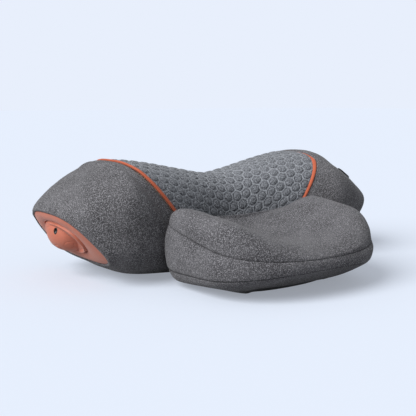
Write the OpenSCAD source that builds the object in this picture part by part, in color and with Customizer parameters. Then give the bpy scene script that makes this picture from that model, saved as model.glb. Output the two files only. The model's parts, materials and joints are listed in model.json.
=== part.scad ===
// Cervical traction pillow: a saddle-shaped neck roll with a lift-out controller
// in one end, and a loose head cushion in front of it.
// Millimetres. X runs along the roll, -X is the controller's end, -Y is the
// cushion's side, +Z is up. The origin is on the floor under the roll's middle.

/* [Neck roll] */
// From the roll's middle to each piping, at mid height
piping_x = 80; // [76:1:84]
// From the roll's middle to the fullest part of each end block
shoulder_x = 142; // [138:1:146]
// From the roll's middle to the centre of each end face
end_x = 182; // [180:1:186]
// Height of the saddle in the middle
waist_h = 100; // [98:1:104]
// Height of the roll at the pipings
crest_h = 122; // [120:1:126]
// Height at the fullest part of each end block
shoulder_h = 110; // [108:1:114]
// Height of the top of each end face
end_h = 73.5; // [72:0.5:76]
// Lift of the underside at the fullest part of each end block
shoulder_lift = 4.4; // [3:0.2:6]
// Lift of the underside at each end face
end_lift = 16.4; // [15:0.2:18]
// Depth of the roll in the middle
waist_d = 96; // [94:1:100]
// Depth of the roll at the pipings
crest_d = 128; // [124:1:129]
// Depth at the fullest part of each end block
shoulder_d = 158; // [150:1:158]
// Depth of each end face
end_d = 122; // [120:1:126]
// Lean of the piping planes, tops outwards
crest_tilt = 37.5; // [35:0.5:39]
// Lean of the section at the fullest part of each end block
shoulder_tilt = 13.6; // [12:0.2:16]
// Lean of the end faces, so that they face outwards and down
end_tilt = 40; // [38:0.5:42]
// Squareness of the roll's sections, where 2 is an ellipse
roll_square = 3.07; // [2.8:0.01:3.2]
// Thickness of the laminated fabric
cover_t = 2.5; // [2:0.1:2.6]
// Radius of the orange piping cord
piping_r = 1.5; // [1.2:0.1:1.6]

/* [Controller] */
// Half length of the controller's oval, front to back
pod_a = 38; // [36:0.5:39]
// Half width of the controller's oval
pod_b = 19.5; // [19:0.5:20.5]
// Height of the controller's dome above the end face
pod_top = 11; // [10:0.5:12]
// Bore radius of the charging jack
jack_r = 1.75; // [1.5:0.05:1.8]
// Depth of the charging jack's bore
jack_l = 7.4; // [6:0.2:7.4]

/* [Head cushion] */
// Length of the cushion, along X
cushion_l = 203; // [200:1:204]
// Depth of the cushion, along Y
cushion_d = 137; // [134:1:138]
// From the roll's middle to the cushion's middle, along X
cushion_x = -17; // [-18:1:-14]
// From the roll's axis to the cushion's middle, towards the head
cushion_y = 148; // [148:1:152]
// How far the cushion's ends curve back towards the roll
cushion_bow = 21.6; // [18:0.2:22]
// Height of the upper seam at mid depth
seam_h = 51.4; // [49:0.2:52]
// Height of the crown at the middle of the cushion
crown_h = 45; // [44:0.5:47]
// Extra height of the crown at the cushion's two ends
horn_h = 51.6; // [46:0.2:53]
// Squareness of the cushion's outline, where 2 is an ellipse
cushion_square = 4.2; // [3.6:0.1:4.4]

/* [Hidden] */

around = 40;            // points around every lofted section
base_t = 1.2;           // non-slip base panel
base_sink = 5;          // how far the roll's round underside would reach below its flat
floor_z = base_t + 0.1; // lowest level of the covers
core_gap = 4;           // from the outside of the covers to the foam
film_in = 2.9;          // from the outside of the covers to the heating film
film_t = 0.5;
u_per_mm = 2 / shoulder_x; // change of station per millimetre along the roll, at a piping
seam_u = (piping_r + 0.3) * u_per_mm;
end_z = (end_h + end_lift) / 2;
face_a = end_d / 2;                               // end face, half size front to back
face_b = (end_h - end_lift) / 2 / cos(end_tilt);  // end face, half size up its slope
dome_rise = 8;          // bulge of the plain end's face

split_z = 46;           // joint between the two foam layers
cell_l = 150;
cell_w = 56;
cell_cavity = [cell_l + 6, cell_w + 16, 28];
pump_bay = [52, 72, 40];
pump_bay_at = [-114, 0, 43];
air_z = 50;             // level of the valve, manifold and hoses
hose_r = 3.3;
nozzle_r = 2.4;
motor_x = 42;
motor_z = 82;
motor_r = 7.5;
motor_l = 20;
motor_bay_r = 8.7;
motor_bay_l = 36;

moat = 1.2;             // gap all round the controller
tub_wall = 1.6;
tub_floor = -16.6;      // inside floor of the dock, from the end face
pod_wall = 2;
pod_rim = 1.5;          // where the dome starts, from the end face
pod_floor = -15;
pcb_top = -1.6;
pcb_t = 1.6;
jack_at = [1, 14];
jack_out_r = 2.6;
jack_top = 6.2;
power_at = [-21, -2];
mode_at = [-6, -4];
heat_at = [9, -4];
button_r = 4;
button_base = 3.3;
switch_w = 6;
switch_h = 3.4;
lens_at = [22, 2];
pin_x = 24;
magnet_x = -22;
magnet_y = 7;

zip_l = 80;
cushion_a = cushion_l / 2;
cushion_b = cushion_d / 2;
cushion_cover_t = 2.2;
cushion_core_in = 3.4;
crown_in = 31;          // from the upper seam in to the crown's inner ring

fabric = "#6f7075";
knit = "#6a6c71";
coral = "#c9704f";
foam = "#e9e2cf";
dark = "#26282b";
board = "#2c6b46";

// ---------- curves and closed grids ----------

function herm(a, b, ma, mb, f) =
    a * (2 * f * f * f - 3 * f * f + 1) + ma * (f * f * f - 2 * f * f + f)
    + b * (3 * f * f - 2 * f * f * f) + mb * (f * f * f - f * f);

// Smooth curve through the values v at stations 0, 1, 2 and 3, with slope m0 at station 0
function through(v, u, m0 = 0) =
    let (i = min(2, floor(u)),
        m = [m0, (v[2] - v[0]) / 2, (v[3] - v[1]) / 2, v[3] - v[2]])
    herm(v[i], v[i + 1], m[i], m[i + 1], u - i);

function power_of(c, n) = sign(c) * pow(abs(c), 2 / n);
function oval(a, b, t, n = 2) = [a * power_of(cos(t), n), b * power_of(sin(t), n)];

// A point of the roll: station u from -3 to 3, angle t, depth d under the outside
function roll_pt(u, t, d) =
    let (w = abs(u), side = u < 0 ? -1 : 1,
        top = through([waist_h, crest_h, shoulder_h, end_h], w),
        low = through([-base_sink, -base_sink, shoulder_lift, end_lift], w),
        half_d = through([waist_d, crest_d, shoulder_d, end_d], w) / 2,
        tilt = through([0, crest_tilt, shoulder_tilt, end_tilt], w),
        along = through([0, piping_x, shoulder_x, end_x], w, piping_x),
        o = oval(half_d - d, (top - low) / 2 - d, t, roll_square))
    [side * (along + o[1] * tan(tilt)), o[0], max((top + low) / 2 + o[1], floor_z + max(d, 0))];

// A point of the plain end's domed face: k is 1 at its rim and 0 at its middle
function dome_pt(k, t, d) =
    let (o = oval(face_a - d, face_b - d, t, roll_square) * k,
        out = (dome_rise - d) * pow(max(0, 1 - pow(k, 3)), 0.6))
    [end_x + o[1] * sin(end_tilt) + out * cos(end_tilt), o[0],
        end_z + o[1] * cos(end_tilt) - out * sin(end_tilt)];

// A point of the cushion, where level is 0 at the flat base, 1 and 2 at the lower seam,
// 4 at the upper seam and 4 to 5 over the crown; d is depth and shift moves an edge up
function cushion_pt(level, t, d, shift = 0) =
    let (q = max(0, level - 4) * 90,
        inset = level <= 4
            ? lookup(level, [[0, 48], [1, 25], [2, 0], [3, 0], [4, 2]]) + d
            : 2 + (1 - cos(q)) * crown_in + d * cos(q),
        o = oval(cushion_a - inset, cushion_b - inset, t, cushion_square),
        u = o[0] / cushion_a, v = o[1] / cushion_b,
        low = 25.3 - 7.2 * u * u - 2.5 * v,
        seam = seam_h + 3.3 * u * u + 12.7 * v,
        crown = crown_h + horn_h * u * u + 7.7 * v,
        z = level <= 2 ? lookup(level, [[0, 0], [1, 0.3 * low], [2, low]]) + d * (1 - level / 2)
            : level <= 4 ? low + (seam - low) * (level - 2) / 2
            : seam + (crown - seam) * sin(q) - d * sin(q))
    [cushion_x + o[0], o[1] - cushion_y + cushion_bow * u * u, z + shift];

function crown_pt(k, t, d) =
    let (o = oval(cushion_a - crown_in - 2, cushion_b - crown_in - 2, t, cushion_square) * k,
        u = o[0] / cushion_a, v = o[1] / cushion_b)
    [cushion_x + o[0], o[1] - cushion_y + cushion_bow * u * u, crown_h + horn_h * u * u + 7.7 * v - d];

function turn(i) = 360 * i / around;
function flat(rows) = [for (r = rows) each r];
function quad(a, b, c, d) = [[a, c, b], [a, d, c]];
function skin(rows, n) = [for (r = [0:rows - 2], i = [0:n - 1])
    let (j = (i + 1) % n) each quad(r * n + i, r * n + j, (r + 1) * n + j, (r + 1) * n + i)];

// A closed ring-shaped solid: rows of points, the last row joining back to the first
module ring_solid(rows) {
    n = len(rows[0]);
    polyhedron(flat(concat(rows, [rows[0]])),
        [for (f = skin(len(rows) + 1, n)) [for (p = f) p % (len(rows) * n)]], convexity = 6);
}

// A solid or a bowl: rows of points, closed by a fan to a point at each end
module capped_solid(rows, first, last) {
    n = len(rows[0]);
    m = len(rows) * n;
    polyhedron(concat(flat(rows), [first, last]),
        concat(skin(len(rows), n),
            [for (i = [0:n - 1]) [m, i, (i + 1) % n]],
            [for (i = [0:n - 1]) [m + 1, m - n + (i + 1) % n, m - n + i]]), convexity = 6);
}

// A piece of sheet that follows the roll, from depth d0 to depth d1
module patch(us, ts, d0, d1) {
    n = 2 * len(ts);
    last = (len(us) - 1) * n;
    rows = [for (u = us) concat([for (t = ts) roll_pt(u, t, d0)],
        [for (i = [len(ts) - 1:-1:0]) roll_pt(u, ts[i], d1)])];
    polyhedron(flat(rows), concat(skin(len(us), n),
        [for (i = [0:n / 2 - 2]) each quad(i + 1, i, n - 1 - i, n - 2 - i)],
        [for (i = [0:n / 2 - 2])
            each quad(last + i, last + i + 1, last + n - 2 - i, last + n - 1 - i)]),
        convexity = 6);
}

// ---------- placing ----------

// The left end face: +X to the front, +Y up its slope and +Z straight out of it
module at_face() {
    translate([-end_x, 0, end_z]) rotate([0, -(90 + end_tilt), 0]) rotate([0, 0, -90]) children();
}

module oval_prism(a, b, z0, z1, n = 2, steps = 64) {
    translate([0, 0, z0]) linear_extrude(z1 - z0)
        polygon([for (i = [0:steps - 1]) oval(a, b, 360 * i / steps, n)]);
}

module peg(at, r, z0, z1) {
    translate([at[0], at[1], z0]) cylinder(r = r, h = z1 - z0, $fn = 48);
}

module block(size, at) {
    translate(at) cube(size, center = true);
}

module rod_x(r, x0, x1, y, z) {
    translate([x0, y, z]) rotate([0, 90, 0]) cylinder(r = r, h = x1 - x0, $fn = 32);
}

module rod_y(r, y0, y1, x, z) {
    translate([x, y1, z]) rotate([90, 0, 0]) cylinder(r = r, h = y1 - y0, $fn = 32);
}

// ---------- neck roll: foam and fabric ----------

module roll_foam() {
    us = [for (u = [-3:0.25:3]) u];
    ks = [0.94, 0.8, 0.5];
    capped_solid(concat(
        [for (u = us) [for (i = [0:around - 1]) roll_pt(u, turn(i), core_gap)]],
        [for (k = ks) [for (i = [0:around - 1]) dome_pt(k, turn(i), core_gap)]]),
        [-end_x, 0, end_z], dome_pt(0, 0, core_gap));
}

module foam_pockets() {
    block(cell_cavity, [0, 0, split_z + cell_cavity[2] / 2]);
    block(pump_bay, pump_bay_at);
    for (s = [-1, 1]) rod_x(motor_bay_r, s * motor_x - motor_bay_l / 2,
        s * motor_x + motor_bay_l / 2, 0, motor_z);
    // the hose and wiring passages between the pump bay and the air cells
    for (y = [-32, 32]) rod_x(4, -100, -70, y, air_z);
    // the dock and the wiring from it to the pump bay
    at_face() oval_prism(pod_a + moat + tub_wall + 1, pod_b + moat + tub_wall + 1, -24, 4);
    at_face() for (p = screw_spots) peg(p, 3, -9, 4);
    rod_x(5, -165, -130, 0, 52);
    at_face() translate([-100, -100, -6.4]) cube([200, 200, 60]);
}

module roll_core_base() {
    color(foam) difference() {
        roll_foam();
        translate([-300, -200, split_z - 0.1]) cube([600, 400, 200]);
        foam_pockets();
    }
}

module roll_core_top() {
    color(foam) difference() {
        roll_foam();
        translate([-300, -200, -50]) cube([600, 400, 50 + split_z + 0.1]);
        foam_pockets();
    }
}

// A sleeve of fabric between two stations
module sleeve(u0, u1, steps) {
    us = [for (i = [0:steps]) u0 + (u1 - u0) * i / steps];
    back = [for (i = [steps:-1:0]) us[i]];
    ring_solid(concat(
        [for (u = us) [for (i = [0:around - 1]) roll_pt(u, turn(i), 0)]],
        [for (u = back) [for (i = [0:around - 1]) roll_pt(u, turn(i), cover_t)]]));
}

module centre_cover() {
    color(knit) sleeve(-1 + seam_u, 1 - seam_u, 12);
}

module left_end_cover() {
    color(fabric) sleeve(-3, -1 - seam_u, 8);
}

module right_end_cover() {
    us = [for (i = [0:8]) 1 + seam_u + (2 - seam_u) * i / 8];
    ks = [0.97, 0.86, 0.6];
    color(fabric) capped_solid(concat(
        [for (k = [0.6, 0.86, 0.97]) [for (i = [0:around - 1]) dome_pt(k, turn(i), cover_t)]],
        [for (j = [8:-1:0]) [for (i = [0:around - 1]) roll_pt(us[j], turn(i), cover_t)]],
        [for (u = us) [for (i = [0:around - 1]) roll_pt(u, turn(i), 0)]],
        [for (k = ks) [for (i = [0:around - 1]) dome_pt(k, turn(i), 0)]]),
        dome_pt(0, 0, cover_t), dome_pt(0, 0, 0));
}

module piping(side) {
    color(coral) ring_solid([for (k = [0:7]) [for (i = [0:around - 1])
        roll_pt(side * (1 + piping_r * cos(45 * k) * u_per_mm), turn(i),
            cover_t - piping_r - 0.4 + side * piping_r * sin(45 * k))]]);
}

module left_piping() { piping(-1); }
module right_piping() { piping(1); }

module base_panel() {
    color(dark) oval_prism(44, 32, 0, base_t, 4);
}

// The fabric tag sewn to the plain end's cover
module side_tab() {
    color(dark) patch([2.14, 2.24, 2.34, 2.44], [for (i = [6:8]) turn(i)], -0.9, -0.15);
}

// ---------- end panel and dock ----------

module end_panel() {
    // across the panel from its rim to the oval opening: [share of the way, height]
    across = [[0, -1.2], [0.03, 0], [0.12, 0.9], [0.45, 1.8], [0.8, 1.6], [0.97, 0.6], [1, -0.6],
        [1, -4], [0, -4]];
    rim = [face_a - cover_t - 0.5, face_b - (cover_t + 0.5) / cos(end_tilt)];
    color(coral) at_face() ring_solid([for (p = across) [for (i = [0:around - 1])
        let (o = oval(rim[0], rim[1], turn(i), roll_square),
            h = oval(pod_a + moat, pod_b + moat, turn(i)),
            q = o + (h - o) * p[0])
        [q[0], q[1], p[1]]]]);
}

screw_spots = [for (s = [-1, 1], r = [-1, 1]) [s * 34, r * 17.5]];

module dock_tub() {
    color(dark) at_face() difference() {
        union() {
            oval_prism(pod_a + moat + tub_wall, pod_b + moat + tub_wall, tub_floor - tub_wall, -4.2);
            oval_prism(pod_a + 8.5, pod_b + 8.5, -6, -4.2, 2.4);
        }
        oval_prism(pod_a + moat, pod_b + moat, tub_floor, 0);
        for (p = pin_spots) peg(p, 1.6, tub_floor - tub_wall - 1, 0);
        for (p = screw_spots) peg(p, 1.3, -8, 0);
    }
}

module dock_screws() {
    color("silver") at_face() for (p = screw_spots) difference() {
        union() {
            peg(p, 2.2, -7.6, -6.1);
            peg(p, 1.2, -6.2, -4.3);
        }
        peg(p, 0.8, -8, -7);
    }
}

module dock_board() {
    color(board) at_face() block([34, 20, 1.2], [12, 0, -20.4]);
}

pin_spots = [for (i = [0:3]) [pin_x, -6 + 4 * i]];

module dock_contacts() {
    color("gold") at_face() for (p = pin_spots) peg(p, 1.5, -19.7, -15.9);
}

module dock_magnets() {
    color("silver") at_face() for (s = [-1, 1])
        peg([magnet_x, s * magnet_y], 3.5, -20.8, tub_floor - tub_wall - 0.1);
}

// ---------- pump, valve, air cells and heating ----------

module driver_board() {
    color(board) block([44, 60, 1.6], [-114, 0, 28]);
}

module board_components() {
    color(dark) {
        for (s = [-1, 1]) block([8, 8, 1.2], [-122, s * 12, 29.5]);
        block([12, 6, 5], [-100, 24, 31.4]);
        translate([-128, 24, 28.9]) cylinder(r = 2.5, h = 5, $fn = 32);
    }
}

module pump_motor() {
    color("silver") difference() {
        union() {
            rod_x(10, -138, -116, -18, 44);
            rod_x(1, -116, -111.2, -18, 44);
        }
        rod_x(3, -139, -137, -18, 44);
    }
}

module pump_head() {
    color(dark) difference() {
        union() {
            rod_x(11, -115.8, -99, -18, 44);
            rod_x(nozzle_r, -100, -96, -18, air_z);
        }
        rod_x(8, -113, -104, -18, 44);
        rod_x(1.6, -116, -112, -18, 44);
        rod_x(1.2, -105, -95, -18, air_z);
    }
}

module pump_eccentric() {
    color("gold") difference() {
        union() {
            rod_x(3.5, -112.6, -109, -18, 44);
            translate([0, 0, -2]) rod_x(4.5, -109, -105, -18, 44);
        }
        rod_x(1.04, -113, -111, -18, 44);
    }
}

module valve_body() {
    color("white") difference() {
        union() {
            block([24, 16, 14], [-124, 20, air_z]);
            rod_x(nozzle_r, -113, -106, 20, air_z);
        }
        rod_x(4, -137, -116, 20, air_z);
        rod_x(1.2, -117, -105, 20, air_z);
    }
}

module valve_plunger() {
    color("silver") rod_x(3.92, -135.9, -118.4, 20, air_z);
}

// A closed pipe across the bay that the pump, the valve and the main hose share
module air_manifold() {
    color("white") difference() {
        union() {
            rod_y(3.4, -35, 26, -92, air_z);
            rod_x(nozzle_r, -92, -84, -32, air_z);
        }
        rod_y(1.6, -34, 25, -92, air_z);
        rod_x(1.2, -92, -83, -32, air_z);
        for (y = [-18, 20]) rod_x(1.2, -97, -92, y, air_z);
    }
}

module hose(x0, x1, y) {
    difference() {
        rod_x(hose_r, x0, x1, y, air_z);
        rod_x(nozzle_r + 0.05, x0 - 1, x1 + 1, y, air_z);
    }
}

module air_hoses() {
    color("#d8dcdf") {
        hose(-98.9, -95.5, -18);
        hose(-111.9, -95.5, 20);
        hose(-86, 20, -32);
    }
}

// A flat bladder with rounded edges and a nozzle to the front
module air_cell(z) {
    color("#b9c4cc") {
        hull() for (x = [-1, 1], y = [-1, 1])
            translate([x * (cell_l / 2 - 6), y * (cell_w / 2 - 6), z])
                sphere(r = 6, $fn = 20);
    }
}

module air_cell_lower() { air_cell(split_z + 7); }
module air_cell_upper() { air_cell(split_z + 20); }

module heating_film() {
    color("#8a5a2b") patch([for (i = [0:10]) -0.85 + 0.17 * i], [for (i = [5:15]) turn(i)],
        film_in, film_in + film_t);
}

module thermal_cutoff() {
    color("silver") block([10, 5, 1.6], [0, 26, 73]);
}

module vibration_motor(side) {
    x0 = side * motor_x - motor_bay_l / 2 + 1;
    color("silver") {
        rod_x(motor_r, x0, x0 + motor_l, 0, motor_z);
        rod_x(1, x0 + motor_l, x0 + motor_l + 9, 0, motor_z);
    }
}

module vibration_motor_left() { vibration_motor(-1); }
module vibration_motor_right() { vibration_motor(1); }

// A half disc on the motor's shaft, heavy on one side
module eccentric_weight(side) {
    x0 = side * motor_x - motor_bay_l / 2 + 1 + motor_l + 1.5;
    color("gold") difference() {
        rod_x(6.8, x0, x0 + 6, 0, motor_z);
        translate([x0 - 1, -10, motor_z + 2.4]) cube([8, 20, 10]);
        rod_x(1.04, x0 - 1, x0 + 7, 0, motor_z);
    }
}

module eccentric_weight_left() { eccentric_weight(-1); }
module eccentric_weight_right() { eccentric_weight(1); }

module wiring_harness() {
    color(dark) {
        rod_x(1.5, -110, motor_x, 32, air_z);
        rod_x(2, -158, -134, 0, 52);
    }
}

// ---------- controller ----------

function dome_z(k, rise) = pod_rim + rise * pow(1 - k * k, 0.85);

module controller_shell() {
    ks = [0.4, 0.65, 0.84, 0.95, 1];
    inner_a = pod_a - pod_wall;
    inner_b = pod_b - pod_wall;
    rise = pod_top - pod_rim;
    inside = [for (k = ks) [for (i = [0:around - 1])
        let (o = oval(inner_a, inner_b, turn(i)) * k) [o[0], o[1], dome_z(k, rise - pod_wall)]]];
    skirt = [for (s = [pod_wall, 0]) [for (i = [0:around - 1])
        let (o = oval(pod_a - s, pod_b - s, turn(i))) [o[0], o[1], pod_floor + 2.1]]];
    outside = [for (j = [4:-1:0]) [for (i = [0:around - 1])
        let (o = oval(pod_a, pod_b, turn(i)) * ks[j]) [o[0], o[1], dome_z(ks[j], rise)]]];
    color(coral) at_face() difference() {
        capped_solid(concat(inside, skirt, outside), [0, 0, pod_top - pod_wall], [0, 0, pod_top]);
        peg(jack_at, jack_out_r + 0.1, 0, 20);
        for (p = [power_at, mode_at, heat_at]) peg(p, button_r + 0.15, 0, 20);
        peg(lens_at, 1.3, 0, 20);
    }
}

// The ring inside the controller that its back is screwed to
module controller_frame() {
    a = pod_a - pod_wall - 0.2;
    b = pod_b - pod_wall - 0.2;
    color(dark) at_face() difference() {
        union() {
            difference() {
                oval_prism(a, b, pod_floor + 2.1, -4);
                oval_prism(a - 1.6, b - 1.6, pod_floor, 0);
            }
            for (s = [-1, 1]) peg([s * 31, 0], 3.6, pod_floor + 2.1, -4);
        }
        for (s = [-1, 1]) peg([s * 31, 0], 1, pod_floor, -6);
    }
}

module controller_back() {
    color(dark) at_face() difference() {
        oval_prism(pod_a, pod_b, pod_floor, pod_floor + 2);
        for (p = pin_spots) peg(p, 0.9, pod_floor - 1, pod_floor + 3);
        for (s = [-1, 1]) peg([s * 31, 0], 1.1, pod_floor - 1, pod_floor + 3);
        for (s = [-1, 1]) peg([s * 31, 0], 2.1, pod_floor - 1, pod_floor + 1);
    }
}

module controller_screws() {
    color("silver") at_face() for (s = [-1, 1]) difference() {
        union() {
            peg([s * 31, 0], 2, pod_floor + 0.1, pod_floor + 0.9);
            peg([s * 31, 0], 0.95, pod_floor + 0.9, -6.5);
        }
        peg([s * 31, 0], 0.7, pod_floor, pod_floor + 0.6);
    }
}

module controller_pcb() {
    color(board) at_face() oval_prism(pod_a - 4.5, pod_b - 4.5, pcb_top - pcb_t, pcb_top);
}

module controller_battery() {
    color("#4a6fa5") at_face() block([28, 20, 6], [-1, 0, -7.2]);
}

module button_switches() {
    color(dark) at_face() for (p = [power_at, mode_at, heat_at])
        block([switch_w, switch_w, switch_h], [p[0], p[1], pcb_top + switch_h / 2 + 0.1]);
}

module push_button(at, top) {
    at_face() {
        peg(at, button_r, button_base, top);
        peg(at, button_r + 1, button_base, button_base + 0.9);
    }
}

function dome_at(p) = dome_z(norm([p[0] / pod_a, p[1] / pod_b]), pod_top - pod_rim);

module power_button() { color("#ece7e2") push_button(power_at, dome_at(power_at) + 0.9); }
module mode_button() { color(coral) push_button(mode_at, dome_at(mode_at) + 0.9); }
module heat_button() { color(coral) push_button(heat_at, dome_at(heat_at) + 0.9); }

module status_lens() {
    color("white") at_face() peg(lens_at, 1.2, pcb_top + 0.1, dome_at(lens_at) + 0.2);
}

module charging_jack() {
    color("black") at_face() difference() {
        peg(jack_at, jack_out_r, pcb_top + 0.1, jack_top);
        peg(jack_at, jack_r, jack_top - jack_l, jack_top + 1);
    }
}

module contact_pins() {
    color("gold") at_face() for (p = pin_spots) peg(p, 0.8, -15.7, pcb_top - pcb_t - 0.1);
}

module controller_magnets() {
    color("silver") at_face() for (s = [-1, 1])
        peg([magnet_x, s * magnet_y], 3, pod_floor + 2.1, pod_floor + 4.6);
}

// ---------- head cushion ----------

function cushion_ring(level, d, shift = 0) =
    [for (i = [0:around - 1]) cushion_pt(level, turn(i), d, shift)];
crown_levels = [4.25, 4.5, 4.75, 5];

module cushion_core() {
    color(foam) difference() {
        capped_solid(concat(
            [for (l = [0, 1, 2, 3]) cushion_ring(l, cushion_core_in)],
            [cushion_ring(4, cushion_core_in, -3.4)],
            [for (l = crown_levels) cushion_ring(l, cushion_core_in, -1)],
            [[for (i = [0:around - 1]) crown_pt(0.6, turn(i), cushion_core_in + 1)]]),
            [cushion_x, -cushion_y, cushion_core_in],
            [cushion_x, -cushion_y, crown_h - cushion_core_in - 1]);
        block([zip_l + 14, 16, 12], [cushion_x, -cushion_y, 0]);
    }
}

module cushion_top_cover() {
    t = cushion_cover_t;
    seam = 0.4;
    color(fabric) capped_solid(concat(
        [[for (i = [0:around - 1]) crown_pt(0.6, turn(i), t)]],
        [for (j = [3:-1:0]) cushion_ring(crown_levels[j], t)],
        [cushion_ring(4, t, seam), cushion_ring(4, 0, seam)],
        [for (l = crown_levels) cushion_ring(l, 0)],
        [[for (i = [0:around - 1]) crown_pt(0.6, turn(i), 0)]]),
        [cushion_x, -cushion_y, crown_h - t], [cushion_x, -cushion_y, crown_h]);
}

module cushion_border() {
    t = cushion_cover_t;
    color(fabric) ring_solid([cushion_ring(4, t, -0.4), cushion_ring(3, t), cushion_ring(2, t, 0.4),
        cushion_ring(2, 0, 0.4), cushion_ring(3, 0), cushion_ring(4, 0, -0.4)]);
}

module cushion_base() {
    t = cushion_cover_t;
    color(fabric) difference() {
        capped_solid(
            [cushion_ring(0, 0), cushion_ring(1, 0), cushion_ring(2, 0, -0.4),
                cushion_ring(2, t, -0.4), cushion_ring(1, t), cushion_ring(0, t)],
            [cushion_x, -cushion_y, 0], [cushion_x, -cushion_y, t]);
        block([zip_l + 4, 8, 12], [cushion_x, -cushion_y, 0]);
    }
}

// The tape spans the slot in the base, and the coil runs along it with a gap for the slider
module cushion_zip_tape() {
    color(dark) difference() {
        block([zip_l + 12, 14, 0.8], [cushion_x, -cushion_y, 4]);
        block([zip_l - 2, 2, 2], [cushion_x, -cushion_y, 4]);
    }
}

slider_x = cushion_x - zip_l / 2 + 5;

module cushion_zip_slider() {
    color("silver") difference() {
        union() {
            block([9, 6, 2.2], [slider_x, -cushion_y, 2.4]);
            for (s = [-1, 1]) block([3, 0.9, 1.9], [slider_x, -cushion_y + s * 1.2, 1.1]);
        }
        rod_y(0.55, -300, 0, slider_x, 0.9);
    }
}

module cushion_zip_pull() {
    color("silver") union() {
        rod_y(0.5, -cushion_y - 2.6, -cushion_y + 2.6, slider_x, 0.9);
        block([14, 1, 0.8], [slider_x + 7.2, -cushion_y, 0.9]);
    }
}

// ---------- output ----------

roll_core_base();
roll_core_top();
centre_cover();
left_end_cover();
right_end_cover();
left_piping();
right_piping();
base_panel();
side_tab();
end_panel();
dock_tub();
dock_board();
dock_contacts();
dock_magnets();
dock_screws();
driver_board();
board_components();
pump_motor();
pump_head();
pump_eccentric();
valve_body();
valve_plunger();
air_manifold();
air_hoses();
air_cell_lower();
air_cell_upper();
heating_film();
thermal_cutoff();
vibration_motor_left();
vibration_motor_right();
eccentric_weight_left();
eccentric_weight_right();
wiring_harness();
controller_shell();
controller_frame();
controller_back();
controller_pcb();
controller_battery();
controller_screws();
button_switches();
power_button();
mode_button();
heat_button();
status_lens();
charging_jack();
contact_pins();
controller_magnets();
cushion_core();
cushion_top_cover();
cushion_border();
cushion_base();
cushion_zip_tape();
cushion_zip_slider();
cushion_zip_pull();
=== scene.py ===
"""Looks of the cervical traction pillow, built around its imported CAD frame.

The soft goods are lofted from the same sections as the CAD solids they replace, at a much finer
step, and then given their seams, embossing and fabric. Shapes are worked out in millimetres in the
CAD frame, and meshes are made in metres.
"""
import json
import math

import bpy
import numpy as np
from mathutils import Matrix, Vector

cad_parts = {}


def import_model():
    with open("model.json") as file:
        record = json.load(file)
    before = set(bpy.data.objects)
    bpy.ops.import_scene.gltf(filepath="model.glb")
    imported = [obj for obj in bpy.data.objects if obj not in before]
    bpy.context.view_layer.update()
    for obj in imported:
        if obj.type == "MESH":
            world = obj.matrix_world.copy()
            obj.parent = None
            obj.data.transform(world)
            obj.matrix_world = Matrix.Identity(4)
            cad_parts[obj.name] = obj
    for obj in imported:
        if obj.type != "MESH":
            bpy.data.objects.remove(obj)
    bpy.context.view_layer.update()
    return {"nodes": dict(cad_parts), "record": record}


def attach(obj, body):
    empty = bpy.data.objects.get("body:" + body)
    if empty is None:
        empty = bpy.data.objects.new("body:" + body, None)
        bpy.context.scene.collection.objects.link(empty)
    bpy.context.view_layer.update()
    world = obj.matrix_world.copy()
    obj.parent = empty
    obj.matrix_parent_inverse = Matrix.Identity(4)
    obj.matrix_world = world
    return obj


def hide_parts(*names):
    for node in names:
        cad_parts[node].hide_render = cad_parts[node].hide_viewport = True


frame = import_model()
MM = 0.001

# ---------------------------------------------------------------- the roll's sections, as in the CAD
STATION_X = (0.0, 80.0, 142.0, 182.0)      # middle, piping, fullest part of the end, end face
STATION_TOP = (100.0, 122.0, 110.0, 73.5)
STATION_LOW = (-5.0, -5.0, 4.4, 16.4)
STATION_DEPTH = (96.0, 128.0, 158.0, 122.0)
STATION_TILT = (0.0, 37.5, 13.6, 40.0)
ROLL_SQUARE = 3.07
FLOOR_Z = 1.3                               # the covers rest on the base panel
COVER_T = 2.5
PIPING_R = 2.5
SEAM_TUCK = 0.3                             # how deep the covers run in beside the piping
RIM_FULL = 3.8                              # how full the fabric rolls over towards the end faces
KEYSTONE = (0.0, 0.0, 0.03, 0.18)           # how much the left end's sections widen from top to bottom
END_TILT = math.radians(STATION_TILT[3])
END_Z = (STATION_TOP[3] + STATION_LOW[3]) / 2
FACE_A = STATION_DEPTH[3] / 2
FACE_B = (STATION_TOP[3] - STATION_LOW[3]) / 2 / math.cos(END_TILT)
DOME_RISE = 9.5                             # how far the plain end's padded face stands out

POD_A, POD_B = 35.5, 21.5                   # the controller's outline, in the end face's frame
POD_AT = (-1.0, 0.5)
POD_SQUARE = 2.3
MOAT = 0.9                                  # the gap round the controller

CUSHION_A, CUSHION_B = 101.5, 68.5
CUSHION_X, CUSHION_Y = -17.0, 148.0
CUSHION_BOW = 21.6                          # how far its ends curve back towards the roll
CUSHION_SQUARE = 4.2
CROWN_IN = 31.0                             # how far in the crown's level part starts

CLOTH_MASS, CLOTH_STIFF = 0.002, 1.5
CLOTH_PRESSURE, CLOTH_FRAMES = 4.0, 20
ROLL_CAP, CUSHION_CAP = 5.0, 6.0            # most that a point may move in the simulation
SWELL = 3.0                                 # how far under its finished skin padded fabric starts
FULLEST, HOLLOWEST = 1.6, 0.9               # most that simulated fabric stands off its finished skin


def herm(a, b, ma, mb, f):
    """Hermite curve from a to b with end slopes ma and mb, at the share f."""
    return (a * (2 * f**3 - 3 * f**2 + 1) + ma * (f**3 - 2 * f**2 + f)
            + b * (3 * f**2 - 2 * f**3) + mb * (f**3 - f**2))


def through(v, u, m0=0.0):
    """Smooth curve through four values at stations 0 to 3, at the stations u."""
    v = np.asarray(v, float)
    slopes = np.array([m0, (v[2] - v[0]) / 2, (v[3] - v[1]) / 2, v[3] - v[2]])
    i = np.clip(np.floor(u).astype(int), 0, 2)
    return herm(v[i], v[i + 1], slopes[i], slopes[i + 1], u - i)


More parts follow.
